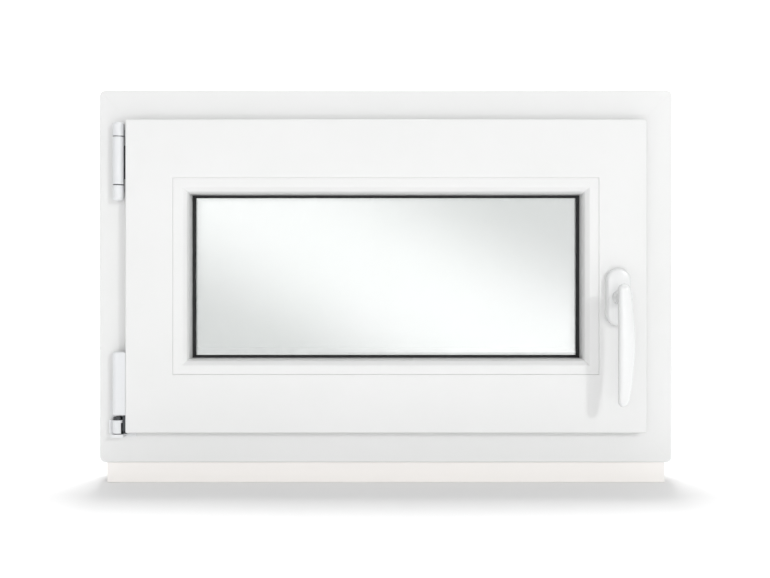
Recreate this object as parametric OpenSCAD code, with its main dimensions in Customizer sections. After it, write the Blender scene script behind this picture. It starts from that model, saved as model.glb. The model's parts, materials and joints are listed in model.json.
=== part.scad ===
// Tilt and turn casement window: welded hollow profiles, sealed glazing unit and concealed hardware.
// Millimetres. +Z is up, +X to the right and -Y towards the room, where the handle is.
// The origin is under the middle of the base profile, at mid-depth of the frame.

/* [Frame] */
// Overall width of the frame
frame_w = 700; // [560:1:1100]
// Height of the frame without the base profile
frame_h = 455; // [400:1:1000]
// Depth of the frame from room face to outer face
frame_d = 70; // [66:1:82]
// Visible frame width beside the sash
margin_side = 35.4; // [35:0.1:45]
// Visible frame width above and below the sash
margin_rail = 38.3; // [35:0.1:48]
// Outer wall of the hollow profiles
wall = 2.8; // [2.5:0.1:3.2]
// Radius of the dressed outer corners
corner_r = 5; // [1:0.5:8]

/* [Base profile] */
// Height of the base profile
base_h = 25; // [20:1:40]
// Distance of each base profile end from the frame's side
base_inset = 8.5; // [0:0.5:20]

/* [Sash] */
// How far the sash stands in front of the frame
sash_proud = 18; // [16:0.5:20]
// Face width of the sash stiles as far as the glazing bead
stile_face = 57.4; // [54:0.1:70]
// Face width of the sash rails as far as the glazing bead
rail_face = 70.5; // [54:0.1:75]
// Overlap of the sash on the frame
overlap = 8; // [7:0.5:9]
// Air between the frame rebate and the sash
rebate_air = 12; // [11.5:0.5:13]
// Depth of the sash from room face to outer face
sash_d = 70; // [68:1:72]

/* [Glazing] */
// Width of the glazing bead's face
bead_w = 18.5; // [17:0.1:24]
// Thickness of one glass pane
pane_t = 4; // [4:1:6]
// Width of the spacer between the panes
spacer_w = 16; // [12:1:16]

/* [Hardware] */
// Distance of the handle below the middle of the frame
handle_drop = 25; // [0:1:60]
// Length of the lever from its turning axis to its tip
lever_l = 128; // [100:1:140]
// Pitch radius of the drive pinion
pinion_r = 9.3; // [9:0.1:9.6]
// Distance of the hinge axis outside the sash edge
hinge_out = 10.4; // [10:0.1:14]
// Length of the upper hinge barrel without its ends
barrel_l = 58.7; // [40:0.1:80]
// Length of the lower hinge cover
cover_l = 77; // [60:1:90]
// Distance of the stay's stud from the hinge axis, along the sash
stay_reach = 230; // [180:1:260]

/* [Hidden] */
$fn = 48;
PVC = [0.93, 0.94, 0.94];
STEEL = [0.72, 0.73, 0.75];
BLACK = [0.08, 0.08, 0.08];

LEFT = 0;
RIGHT = 1;
BOTTOM = 2;
TOP = 3;

// Insets from the frame's outer edge, as [at the sides, at the rails]
EDGE = [0, 0];
SASH = [margin_side, margin_rail];
REBATE = SASH + [overlap, overlap];
BODY = REBATE + [rebate_air, rebate_air];
BEAD = SASH + [stile_face, rail_face];
SIGHT = BEAD + [bead_w, bead_w];
rebate_leg_h = 20;
LEG = REBATE + [rebate_leg_h, rebate_leg_h];
glass_air = 5;
GLASS = BEAD + [glass_air, glass_air];

// Depth levels along Y
room_y = -frame_d / 2;
out_y = frame_d / 2;
sash_y = room_y - sash_proud;
sash_back = sash_y + sash_d;
seal_gap = 3.3;
flange_back = room_y - seal_gap;
leg_y = sash_back + 3;
gasket_t = 3;
glass_back = sash_back - 10 - gasket_t;
glass_t = 2 * pane_t + spacer_w;
glass_front = glass_back - glass_t;
groove_y = -20;
groove_w = 16;
groove_deep = 10;
play = 0.3;

// Hinge axes
axis_x = margin_side - hinge_out - frame_w / 2;
axis_y = sash_y + 9;
tilt_z = base_h + margin_rail + 3.7;

// Handle place
handle_z = base_h + frame_h / 2 - handle_drop;
plate_t = 2.2;
lock_edge = frame_w / 2 - BODY[0];
rod_out = lock_edge - plate_t - play;
rod_t = 2.3;
rack_gap = 1.5;
handle_x = rod_out - rod_t - rack_gap - pinion_r;
travel = PI * pinion_r;

// Upper hinge
arm_z = high_z(BODY) + 5.8;
arm_t = 3;
pin_r = 3;
run = 0.05;
knuckle_r = 6.5;
eye_top = base_h + frame_h - 40.9;
eye_l = 16.6;
barrel_top = eye_top - eye_l - play;
pin_cap_top = barrel_top - barrel_l - play;
pin_cap_l = 19;
hinge_plate_t = 1.5;
stud_y = groove_y;

// Lower hinge
post_r = 3.5;
foot_z = tilt_z - 10;
foot_t = 4;
tilt_block_r = 6;
tilt_block_top = tilt_z + 15;
cover_low = tilt_z + 17.3;
pivot_cap_top = cover_low - 6;
strap_x = axis_x + 6.6;

// Locking points
cam_r = 3.5;
cam_h = 7;
keep_t = 2.5;
keep_lip = 1.4;
fix_hole_r = 3.1;
fix_spacing = 280;
mid_z = base_h + frame_h / 2;
lock_cams = [mid_z + 80, mid_z - 95];
top_cam = 100;
low_cams = [120, 215];
rod_end = 60;
screw_r = 1.9;
screw_head_r = 3.5;
screw_l = 24;

function side_x(i) = frame_w / 2 - i[0];
function low_z(i) = base_h + i[1];
function high_z(i) = base_h + frame_h - i[1];

// Moves a flat outline drawn in X and Z to the depth between y0 and y1
module deep(y0, y1) {
  translate([0, y1, 0]) rotate([90, 0, 0]) linear_extrude(y1 - y0) children();
}

// One mitred side of a flat ring between the insets a and b
module mitred(side, a, b) {
  xa = side_x(a);
  xb = side_x(b);
  if (side == LEFT)
    polygon([[-xa, low_z(a)], [-xb, low_z(b)], [-xb, high_z(b)], [-xa, high_z(a)]]);
  if (side == RIGHT)
    polygon([[xa, low_z(a)], [xa, high_z(a)], [xb, high_z(b)], [xb, low_z(b)]]);
  if (side == BOTTOM)
    polygon([[-xa, low_z(a)], [xa, low_z(a)], [xb, low_z(b)], [-xb, low_z(b)]]);
  if (side == TOP)
    polygon([[-xa, high_z(a)], [-xb, high_z(b)], [xb, high_z(b)], [xa, high_z(a)]]);
}

// Rectangle inside the inset i
module inside(i) {
  translate([-side_x(i), low_z(i)]) square([2 * side_x(i), high_z(i) - low_z(i)]);
}

// Flat ring between the insets a and b
module ring(a, b) {
  difference() {
    inside(a);
    inside(b);
  }
}

module rounded_frame() {
  r = corner_r;
  union() {
    translate([-frame_w / 2 + r, base_h]) square([frame_w - 2 * r, frame_h]);
    translate([-frame_w / 2, base_h + r]) square([frame_w, frame_h - 2 * r]);
    for (x = [-1, 1])
      for (z = [base_h + r, base_h + frame_h - r])
        translate([x * (frame_w / 2 - r), z]) circle(r);
  }
}

// Box from its low corner to its high corner
module block(a, b) {
  translate(a) cube(b - a);
}

// Rod of radius r along +X, +Y or +Z
module rod_x(r, x0, x1, y, z) {
  translate([x0, y, z]) rotate([0, 90, 0]) cylinder(r = r, h = x1 - x0);
}
module rod_y(r, x, y0, y1, z) {
  translate([x, y1, z]) rotate([90, 0, 0]) cylinder(r = r, h = y1 - y0);
}
module rod_z(r, x, y, z0, z1) {
  translate([x, y, z0]) cylinder(r = r, h = z1 - z0);
}

// Rectangular tube along +Z or +X between two corners
module tube_z(a, b, t) {
  difference() {
    block(a, b);
    block(a + [t, t, -1], b + [-t, -t, 1]);
  }
}
module tube_x(a, b, t) {
  difference() {
    block(a, b);
    block(a + [-1, t, t], b + [1, -t, -t]);
  }
}

// ---- Frame ----

module frame_member(side) {
  w = [wall, wall];
  difference() {
    intersection() {
      union() {
        deep(room_y, leg_y) mitred(side, EDGE, REBATE);
        deep(leg_y, out_y) mitred(side, EDGE, LEG);
      }
      deep(room_y - 1, out_y + 1) rounded_frame();
    }
    deep(room_y + wall, leg_y - wall) mitred(side, w, REBATE - w);
    deep(leg_y, out_y - wall) mitred(side, w, LEG - w);
    fixing_holes(fix_hole_r);
    keep_screw_rods(screw_r + 0.1);
    bearing_screw_rods(screw_r + 0.1);
    if (side == BOTTOM) drain_slots();
  }
}

// Holes through the jambs for the wall fixings
module fixing_holes(r) {
  for (s = [-1, 1])
    for (z = [-1, 1])
      rod_x(r, s < 0 ? -frame_w / 2 - 1 : frame_w / 2 - REBATE[0] - 1,
        s < 0 ? -frame_w / 2 + REBATE[0] + 1 : frame_w / 2 + 1, 0, mid_z + z * fix_spacing / 2);
}

drain_x = frame_w / 2 - 130;
module drain_slots() {
  for (s = [-1, 1])
    block([s * drain_x - 14, out_y - 5, base_h + 10], [s * drain_x + 14, out_y + 1, base_h + 15]);
}

module frame_jamb_hinge() { color(PVC) frame_member(LEFT); }
module frame_jamb_lock() { color(PVC) frame_member(RIGHT); }
module frame_head() { color(PVC) frame_member(TOP); }
module frame_sill() { color(PVC) frame_member(BOTTOM); }

steel_t = 1.5;
steel_y0 = -10;
steel_y1 = 12;
steel_end = 62;
module frame_steel_sides() {
  a = wall + play;
  b = REBATE[0] - wall - play;
  color(STEEL) difference() {
    for (s = [0, 1])
      mirror([s, 0, 0])
        tube_z([frame_w / 2 - b, steel_y0, base_h + steel_end],
          [frame_w / 2 - a, steel_y1, base_h + frame_h - steel_end], steel_t);
    fixing_holes(fix_hole_r);
  }
}
module frame_steel_rails() {
  a = wall + play;
  b = REBATE[1] - wall - play;
  x = frame_w / 2 - steel_end;
  color(STEEL) {
    tube_x([-x, steel_y0, base_h + a], [x, steel_y1, base_h + b], steel_t);
    tube_x([-x, steel_y0, base_h + frame_h - b], [x, steel_y1, base_h + frame_h - a], steel_t);
  }
}

module drain_caps() {
  color(PVC) for (s = [-1, 1])
    difference() {
      block([s * drain_x - 20, out_y, base_h + 7], [s * drain_x + 20, out_y + 3.5, base_h + 18]);
      block([s * drain_x - 16, out_y - 1, base_h + 6], [s * drain_x + 16, out_y + 2, base_h + 15]);
    }
}

module rebate_gasket() {
  a = BODY + [1, 1];
  color(BLACK) deep(leg_y - gasket_t + play, leg_y) ring(a, a + [5, 5]);
}

base_room_y = room_y + 3;
base_out_y = out_y - 7;
module base_profile() {
  x = frame_w / 2 - base_inset;
  cells = 3;
  pitch = (base_out_y - base_room_y - wall) / cells;
  color(PVC) difference() {
    block([-x, base_room_y, 0], [x, base_out_y, base_h]);
    for (i = [0 : cells - 1])
      block([-x - 1, base_room_y + wall + i * pitch, wall],
        [x + 1, base_room_y + (i + 1) * pitch, base_h - wall]);
  }
}

// ---- Hinges ----

// Knuckle on the hinge axis
module knuckle(z0, z1, bore) {
  difference() {
    rod_z(knuckle_r, axis_x, axis_y, z0, z1);
    rod_z(bore, axis_x, axis_y, z0 - 1, z1 + 1);
  }
}

leg_depth = 24;
rebate_x = REBATE[0] - frame_w / 2;

// Angle plate on the frame's face and in its rebate
module hinge_plate(z0, z1, x0) {
  block([x0, room_y - hinge_plate_t, z0], [rebate_x + 2, room_y, z1]);
  block([rebate_x, room_y - hinge_plate_t, max(z0, low_z(REBATE) + play)], [rebate_x + 2, room_y + leg_depth, z1]);
}

bearing_low = barrel_top - barrel_l + 8;
bearing_high = barrel_top - 10;
corner_low = foot_z;
corner_high = foot_z + 44;
bearing_screw_z = [bearing_low + 8, bearing_high - 8, corner_high - 24, corner_high - 8];
bearing_screw_y = room_y + 12;
module bearing_screw_rods(r) {
  for (z = bearing_screw_z)
    rod_x(r, rebate_x - screw_l, rebate_x + 2.5, bearing_screw_y, z);
}

module stay_bearing() {
  color(STEEL) difference() {
    union() {
      rod_z(knuckle_r, axis_x, axis_y, pin_cap_top + play, barrel_top);
      block([axis_x - 3.5, axis_y, bearing_low], [axis_x + 3.5, room_y, bearing_high]);
      hinge_plate(bearing_low, bearing_high, axis_x - 5);
    }
    rod_z(pin_r + run, axis_x, axis_y, pin_cap_top - 1, barrel_top + 1);
    bearing_screw_rods(screw_r + 0.1);
  }
}

module hinge_pin() {
  color(STEEL) rod_z(pin_r, axis_x, axis_y, pin_cap_top - pin_cap_l + 4, eye_top - 2);
}

module hinge_pin_cap() {
  color(PVC) difference() {
    rod_z(knuckle_r, axis_x, axis_y, pin_cap_top - pin_cap_l, pin_cap_top);
    rod_z(pin_r + run, axis_x, axis_y, pin_cap_top - pin_cap_l + 4, pin_cap_top + 1);
  }
}

module corner_bearing() {
  color(STEEL) difference() {
    union() {
      hinge_plate(corner_low, corner_high, axis_x - 12);
      block([axis_x - 7, axis_y - 6, foot_z], [axis_x + 7, room_y, foot_z + foot_t]);
    }
    rod_z(post_r, axis_x, axis_y, foot_z - 1, foot_z + foot_t + 1);
    bearing_screw_rods(screw_r + 0.1);
  }
}

module bearing_pin() {
  color(STEEL) rod_z(post_r, axis_x, axis_y, foot_z, tilt_block_top - 2.5);
}

module bearing_cover() {
  color(PVC) block([axis_x - 12, axis_y + 2, foot_z + foot_t + 0.5],
    [axis_x - 7.8, room_y - hinge_plate_t, pivot_cap_top]);
}

module bearing_screws() {
  color(STEEL) {
    bearing_screw_rods(screw_r);
    for (z = bearing_screw_z)
      rod_x(screw_head_r, rebate_x + 2, rebate_x + 3.4, bearing_screw_y, z);
  }
}

module tilt_block() {
  z0 = foot_z + foot_t + play;
  color(STEEL) union() {
    difference() {
      rod_z(tilt_block_r, axis_x, axis_y, z0, tilt_block_top);
      rod_z(post_r + run, axis_x, axis_y, z0 - 1, tilt_block_top - 2.2);
    }
    rod_x(pin_r, axis_x + 4.5, strap_x + 3.6, axis_y, tilt_z);
  }
}

// Cover around the hinge axis, flat where it meets the strap
module axis_cover(r, bore, z0, z1, t) {
  intersection() {
    difference() {
      rod_z(r, axis_x, axis_y, z0, z1);
      rod_z(bore, axis_x, axis_y, z0 - 1, z1 - t);
    }
    block([axis_x - r - 1, axis_y - r - 1, z0], [strap_x - play, axis_y + r + 1, z1]);
  }
}

module pivot_cap() {
  color(PVC) difference() {
    axis_cover(7.1, tilt_block_r + run, foot_z + foot_t + 0.5, pivot_cap_top, -1);
    block([axis_x, axis_y - 8, foot_z], [strap_x + 1, axis_y + 8, tilt_z + 8]);
  }
}

// ---- Stay ----

stay_end = stay_reach + 12;
// Distance of the jamb's rebate edge from the hinge axis
jamb_edge = hinge_out + overlap;

module stay_arm() {
  color(STEEL) union() {
    knuckle(eye_top - eye_l, eye_top - 2, pin_r + run);
    difference() {
      union() {
        translate([axis_x, axis_y, arm_z]) linear_extrude(arm_t)
          polygon([[4, 6], [jamb_edge + 5.6, 6], [jamb_edge + 41.6, 18], [stay_end, 18], [stay_end, 30],
            [jamb_edge + 31.6, 30], [jamb_edge + 1.1, 8.4], [4, 8.4]]);
        block([axis_x, axis_y + 4, eye_top - eye_l], [axis_x + 9, axis_y + 8.4, arm_z + arm_t]);
        block([axis_x, axis_y + 6, eye_top - eye_l], [axis_x + jamb_edge + 1.6, axis_y + 8.4, arm_z + arm_t]);
      }
      rod_z(pin_r + run, axis_x, axis_y, arm_z - 9, arm_z + 9);
      for (d = [-3, 3])
        rod_z(4.2, axis_x + stay_reach + d, stud_y, arm_z - 1, arm_z + arm_t + 1);
      block([axis_x + stay_reach - 3, stud_y - 4.2, arm_z - 1],
        [axis_x + stay_reach + 3, stud_y + 4.2, arm_z + arm_t + 1]);
    }
  }
}

module stay_eye_cap() {
  color(PVC) rod_z(knuckle_r, axis_x, axis_y, eye_top - 2, eye_top);
}

module stay_guide() {
  x = axis_x + stay_reach;
  z = high_z(BODY);
  color(STEEL) union() {
    block([x - 40, stud_y - 6, z], [x + 40, stud_y + 6, z + 2]);
    rod_z(pin_r, x, stud_y, z, arm_z + 1.8);
  }
}

// ---- Keeps on the frame ----

// Keep lying on a rebate face, with the sash above it in local +Z
module keep(l, lip_y) {
  difference() {
    union() {
      block([-l / 2, -10, 0], [l / 2, 10, keep_t]);
      block([-l / 2, lip_y, 0], [l / 2, lip_y + 3, keep_t + keep_lip]);
    }
    for (d = [-1, 1]) {
      rod_z(screw_r + 0.1, d * (l / 2 - 6), 1, -1, keep_t + 1);
      rod_z(screw_head_r + 0.1, d * (l / 2 - 6), 1, keep_t - 1.3, keep_t + 1);
    }
  }
}

// Puts children on the rebate face of the lock jamb, the head or the sill
module on_lock_jamb(z) {
  translate([frame_w / 2 - REBATE[0], groove_y, z]) rotate([0, -90, 0]) children();
}
module on_head(x) {
  translate([x, groove_y, high_z(REBATE)]) rotate([180, 0, 0]) children();
}
module on_sill(x) {
  translate([x, groove_y, low_z(REBATE)]) children();
}

keep_l = 62;
keep_shift = travel / 2;
tilt_keep_x = low_cams[1] - keep_shift;
module at_keeps() {
  for (z = lock_cams)
    on_lock_jamb(z - keep_shift) children(0);
  on_head(top_cam + keep_shift) children(1);
  on_sill(low_cams[0] - keep_shift) children(0);
}

module lock_keeps() {
  color(STEEL) at_keeps() {
    keep(keep_l, -10);
    keep(keep_l, 7);
  }
}

module tilt_keep() {
  color(STEEL) on_sill(tilt_keep_x) union() {
    keep(keep_l + 10, -10);
    for (d = [-1, 1])
      block([d * (keep_l / 2 + 2) - 2, -6, keep_t], [d * (keep_l / 2 + 2) + 2, 6, keep_t + keep_lip]);
  }
}

// Screw with its axis along local Z, the head just under the keep's face
module keep_screw(l, r, head) {
  for (d = [-1, 1]) {
    rod_z(r, d * (l / 2 - 6), 1, keep_t - screw_l, keep_t - 1.2);
    if (head) rod_z(screw_head_r, d * (l / 2 - 6), 1, keep_t - 1.3, keep_t - 0.1);
  }
}
module keep_screw_rods(r, head = false) {
  at_keeps() {
    keep_screw(keep_l, r, head);
    keep_screw(keep_l, r, head);
  }
  on_sill(tilt_keep_x) keep_screw(keep_l + 10, r, head);
}
module keep_screws() {
  color(STEEL) keep_screw_rods(screw_r, true);
}

// ---- Sash ----

stile_steel_y0 = groove_y + groove_w / 2 + 4;
module sash_member(side) {
  w = [wall, wall];
  g = [groove_deep, groove_deep];
  difference() {
    union() {
      deep(sash_y, flange_back) mitred(side, SASH, BEAD);
      deep(flange_back, glass_back + gasket_t) mitred(side, BODY, BEAD);
      deep(glass_back + gasket_t, sash_back) mitred(side, BODY, SIGHT);
    }
    deep(sash_y + wall, flange_back - wall) mitred(side, SASH + w, BEAD - w);
    deep(stile_steel_y0 - play, sash_back - wall) mitred(side, BODY + w, BEAD - w);
    deep(groove_y - groove_w / 2, groove_y + groove_w / 2) ring(BODY, BODY + g);
    if (side == RIGHT) lock_stile_cuts();
    if (side == LEFT) hinge_screw_rods(screw_r + 0.1);
    if (side == TOP || side == BOTTOM) faceplate_screw_rods(screw_r + 0.1, screw_head_r);
  }
}

case_h = 27;
case_x0 = handle_x - 14;
case_x1 = handle_x + 10;
module lock_stile_cuts() {
  block([case_x0 - play, groove_y - groove_w / 2, handle_z - case_h - play],
    [lock_edge, groove_y + groove_w / 2, handle_z + case_h + play]);
  rod_y(6, handle_x, sash_y - 1, groove_y, handle_z);
  rosette_screw_rods(rosette_screw_r + 0.1);
}

module sash_stile_hinge() { color(PVC) sash_member(LEFT); }
module sash_stile_lock() { color(PVC) sash_member(RIGHT); }
module sash_rail_top() { color(PVC) sash_member(TOP); }
module sash_rail_bottom() { color(PVC) sash_member(BOTTOM); }

sash_steel_y1 = sash_back - wall - play;
module sash_steel_sides() {
  x0 = side_x(BEAD) + wall + play;
  x1 = side_x(BODY) - wall - play;
  e = 52;
  color(STEEL) for (s = [0, 1])
    mirror([s, 0, 0])
      tube_z([x0, stile_steel_y0, low_z(BODY) + e], [x1, sash_steel_y1, high_z(BODY) - e], steel_t);
}
module sash_steel_rails() {
  a = wall + play;
  x = side_x(BODY) - 52;
  color(STEEL) {
    tube_x([-x, stile_steel_y0, low_z(BODY) + a], [x, sash_steel_y1, low_z(BEAD) - a], steel_t);
    tube_x([-x, stile_steel_y0, high_z(BEAD) + a], [x, sash_steel_y1, high_z(BODY) - a], steel_t);
  }
}

module overlap_gasket() {
  a = SASH + [2.6, 2.6];
  color(BLACK) difference() {
    deep(flange_back, room_y - play) ring(a, a + [4.5, 4.5]);
    block([axis_x, flange_back - 1, bearing_low - 2], [rebate_x + 4, room_y, eye_top + 2]);
    block([axis_x, flange_back - 1, corner_low - 2], [rebate_x + 4, room_y, corner_high + 2]);
  }
}

// ---- Glazing ----

bead_y = sash_y + 0.6;
bead_flat = 11;
bead_slope = 17;
bead_back = glass_front - gasket_t;

// Outline of the bead, from the sash face towards the glass
module bead_outline() {
  polygon([[0, bead_y], [bead_flat, bead_y], [bead_slope, bead_y + 6.4], [bead_w, bead_y + 14],
    [bead_w, bead_back], [0, bead_back]]);
}

// One bead along a side of the opening, cut at 45 degrees at both ends
module bead(side) {
  l = side == LEFT || side == RIGHT ? high_z(BEAD) - low_z(BEAD) : 2 * side_x(BEAD);
  turn = side == LEFT ? 0 : side == BOTTOM ? -90 : side == RIGHT ? 180 : 90;
  mid = side == LEFT ? [-side_x(BEAD), 0, mid_z] : side == RIGHT ? [side_x(BEAD), 0, mid_z]
    : side == BOTTOM ? [0, 0, low_z(BEAD)] : [0, 0, high_z(BEAD)];
  color(PVC) translate(mid) rotate([0, turn, 0]) intersection() {
    translate([0, 0, -l / 2]) linear_extrude(l) bead_outline();
    deep(sash_y - 1, glass_front)
      polygon([[0, -l / 2], [bead_w + 1, -l / 2 + bead_w + 1], [bead_w + 1, l / 2 - bead_w - 1], [0, l / 2]]);
  }
}
module bead_hinge_side() { bead(LEFT); }
module bead_lock_side() { bead(RIGHT); }
module bead_top() { bead(TOP); }
module bead_bottom() { bead(BOTTOM); }

module pane_room() {
  color([0.75, 0.85, 0.85, 0.4]) deep(glass_front, glass_front + pane_t) inside(GLASS);
}
module pane_outside() {
  color([0.75, 0.85, 0.85, 0.4]) deep(glass_back - pane_t, glass_back) inside(GLASS);
}
seal_w = 4;
spacer_h = 7;
module edge_seal() {
  color(BLACK) deep(glass_front + pane_t, glass_back - pane_t) ring(GLASS, GLASS + [seal_w, seal_w]);
}
module spacer_bar() {
  a = GLASS + [seal_w, seal_w];
  b = a + [spacer_h, spacer_h];
  c = [1, 1];
  color(STEEL) difference() {
    deep(glass_front + pane_t, glass_back - pane_t) ring(a, b);
    deep(glass_front + pane_t + 1, glass_back - pane_t - 1) ring(a + c, b - c);
  }
}

gasket_lip = 4;
module room_gasket() {
  color(BLACK) deep(bead_back, glass_front) ring(SIGHT - [5, 5], SIGHT + [gasket_lip, gasket_lip]);
}
module outer_gasket() {
  color(BLACK) deep(glass_back, glass_back + gasket_t) ring(SIGHT - [6, 6], SIGHT);
}

block_l = 80;
module setting_blocks() {
  x = side_x(GLASS) - 60;
  color(BLACK) for (s = [-1, 1])
    for (z = [[low_z(BEAD), low_z(GLASS)], [high_z(GLASS), high_z(BEAD)]])
      block([s * x - block_l / 2, glass_front, z[0]], [s * x + block_l / 2, glass_back, z[1]]);
}

// ---- Sash hinge parts ----

strap_t = 3.7;
strap_y0 = axis_y - 6;
strap_y1 = axis_y + 4;
strap_top = cover_low + cover_l - 6;
hinge_screw_z = [tilt_z + 30, strap_top - 12];
module hinge_screw_rods(r) {
  for (z = hinge_screw_z)
    rod_x(r, strap_x + 0.5, strap_x + screw_l, axis_y - 1, z);
}
module corner_hinge() {
  color(STEEL) difference() {
    union() {
      rod_x(5.6, strap_x, strap_x + strap_t, axis_y, tilt_z);
      block([strap_x, strap_y0, tilt_z], [strap_x + strap_t, strap_y1, strap_top]);
    }
    rod_x(pin_r + run, strap_x - 1, strap_x + strap_t + 1, axis_y, tilt_z);
    hinge_screw_rods(screw_r + 0.1);
    for (z = hinge_screw_z)
      rod_x(screw_head_r + 0.1, strap_x - 1, strap_x + 1.7, axis_y - 1, z);
  }
}
module hinge_screws() {
  color(STEEL) {
    hinge_screw_rods(screw_r);
    for (z = hinge_screw_z)
      rod_x(screw_head_r, strap_x + 0.4, strap_x + 1.6, axis_y - 1, z);
  }
}
module corner_hinge_cover() {
  color(PVC) axis_cover(6.7, 5.4, cover_low, cover_low + cover_l, 1.4);
}

// ---- Drive ----

plate_end = 14;
slot_r = cam_r + 0.3;

// Slot for a cam that travels from 0 to d along local X
module cam_slot(d) {
  hull_x0 = min(0, d);
  hull_x1 = max(0, d);
  rod_z(slot_r, 0, 0, -plate_t - 1, 1);
  rod_z(slot_r, d, 0, -plate_t - 1, 1);
  block([hull_x0, -slot_r, -plate_t - 1], [hull_x1, slot_r, 1]);
}

// Puts children on the sash edge, with local +Z out of the edge
module sash_lock_edge(z) {
  translate([lock_edge, groove_y, z]) rotate([0, 90, 0]) children();
}
module sash_top_edge(x) {
  translate([x, groove_y, high_z(BODY)]) children();
}
module sash_low_edge(x) {
  translate([x, groove_y, low_z(BODY)]) rotate([180, 0, 0]) children();
}

plate_x0 = -side_x(BODY) + plate_end;
plate_x1 = side_x(BODY) - plate_end;
top_screws = [plate_x0 + 30, -40, top_cam - 50];
low_screws = [plate_x0 + 30, -100, low_cams[0] - 100];
module faceplate_screw_rods(r, head_r) {
  for (x = top_screws)
    sash_top_edge(x) plate_screw(r, head_r);
  for (x = low_screws)
    sash_low_edge(x) plate_screw(r, head_r);
}
module plate_screw(r, head_r) {
  rod_z(r, 0, 0, -screw_l, -1.2);
  rod_z(head_r, 0, 0, -1.3, head_r > screw_head_r ? 1 : 0);
}
module faceplate_screws() {
  color(STEEL) faceplate_screw_rods(screw_r, screw_head_r);
}
module faceplates() {
  w = groove_w / 2;
  color(STEEL) difference() {
    union() {
      block([lock_edge - plate_t, groove_y - w, low_z(BODY) + plate_end],
        [lock_edge, groove_y + w, high_z(BODY) - plate_end]);
      block([plate_x0, groove_y - w, high_z(BODY) - plate_t], [plate_x1, groove_y + w, high_z(BODY)]);
      block([plate_x0, groove_y - w, low_z(BODY)], [plate_x1, groove_y + w, low_z(BODY) + plate_t]);
    }
    for (z = lock_cams)
      sash_lock_edge(z) cam_slot(travel);
    sash_top_edge(top_cam) cam_slot(travel);
    for (x = low_cams)
      sash_low_edge(x) cam_slot(-travel);
    faceplate_screw_rods(screw_r + 0.1, screw_head_r + 0.1);
  }
}

// Block that carries a cam, inside the rod
module cam_pin() {
  rod_z(cam_r, 0, 0, -plate_t - play - 1, cam_h);
}

rod_w = 10;
lock_rod_z0 = low_z(BODY) + rod_end;
lock_rod_z1 = high_z(BODY) - rod_end;
tooth_pitch = PI * pinion_r / 6;
rack_x0 = rod_out - rod_t;
module rack_tooth() {
  polygon([[0, -0.95], [0, 0.95], [-2.7, 0.45], [-2.7, -0.45]]);
}
module drive_rod_lock() {
  color(STEEL) union() {
    block([rack_x0, groove_y - rod_w / 2, lock_rod_z0], [rod_out, groove_y + rod_w / 2, lock_rod_z1]);
    for (z = lock_cams)
      sash_lock_edge(z) cam_pin();
    for (i = [-1 : 7])
      deep(groove_y - 3.5, groove_y + 3.5) translate([rack_x0, handle_z + i * tooth_pitch]) rack_tooth();
  }
}
rail_rod_x1 = side_x(BODY) - rod_end - 5;
module drive_rod_top() {
  z1 = high_z(BODY) - plate_t - play;
  color(STEEL) union() {
    block([top_cam - 30, groove_y - rod_w / 2, z1 - rod_t], [rail_rod_x1, groove_y + rod_w / 2, z1]);
    sash_top_edge(top_cam) cam_pin();
  }
}
module drive_rod_bottom() {
  z0 = low_z(BODY) + plate_t + play;
  color(STEEL) union() {
    block([low_cams[0] - 30, groove_y - rod_w / 2, z0], [rail_rod_x1, groove_y + rod_w / 2, z0 + rod_t]);
    for (x = low_cams)
      sash_low_edge(x) cam_pin();
  }
}

// Spring strip bent round a corner, seen from the room side
module corner_strip(z_edge, up) {
  x1 = rod_out;
  z1 = z_edge + up * (plate_t + play);
  reach_x = side_x(BODY) - rod_end + travel;
  arm = rod_end - (up > 0 ? travel : 0) - 6;
  deep(groove_y - 5, groove_y + 5) difference() {
    translate([reach_x - 2, min(z1, z1 + up * arm)]) square([x1 - reach_x + 2, arm]);
    translate([reach_x - 3, min(z1 + up * 1.2, z1 + up * (arm + 1))]) square([x1 - reach_x + 1.8, arm - 0.2]);
  }
}
module corner_strips() {
  color(STEEL) {
    corner_strip(high_z(BODY), -1);
    corner_strip(low_z(BODY), 1);
  }
}

module gearbox_case() {
  y = [groove_y - 7, groove_y - 4, groove_y + 4, groove_y + 7];
  color(STEEL) difference() {
    union() {
      block([case_x0, y[0], handle_z - case_h], [case_x1, y[1], handle_z + case_h]);
      block([case_x0, y[2], handle_z - case_h], [case_x1, y[3], handle_z + case_h]);
      block([case_x0, y[0], handle_z - case_h], [case_x0 + 2.5, y[3], handle_z + case_h]);
    }
    rod_y(hub_r + run, handle_x, y[0] - 1, y[3] + 1, handle_z);
    rosette_screw_rods(rosette_screw_r + 0.1, 1);
  }
}

hub_r = 6;
teeth = 12;
spindle_w = 7;
module spindle_hole(y0, y1, w) {
  block([handle_x - w / 2, y0, handle_z - w / 2], [handle_x + w / 2, y1, handle_z + w / 2]);
}
module drive_pinion() {
  color(STEEL) difference() {
    union() {
      rod_y(7.7, handle_x, groove_y - 3.6, groove_y + 3.6, handle_z);
      rod_y(hub_r, handle_x, groove_y - 7, groove_y + 7, handle_z);
      deep(groove_y - 3.4, groove_y + 3.4) translate([handle_x, handle_z])
        for (i = [0 : teeth - 1])
          rotate((i + 0.5) * 360 / teeth)
            polygon([[7, -1.2], [pinion_r + 1.2, -0.55], [pinion_r + 1.2, 0.55], [7, 1.2]]);
    }
    spindle_hole(groove_y - 8, groove_y + 8, spindle_w + 0.1);
  }
}

// ---- Handle ----

rosette_w = 29;
rosette_l = 70;
rosette_t = 11;
rosette_wall = 1.6;
rosette_base_t = 4;
rosette_screw_d = 21.5;
rosette_screw_r = 2.4;
neck_r = 8;
lever_t = 13;
lever_front = sash_y - 52;
lever_shift = -1.4;
lever_top = 8.5;
lever_end_r = 7.4;
lever_mid_r = 9.8;
lever_mid_drop = 50;

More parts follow.
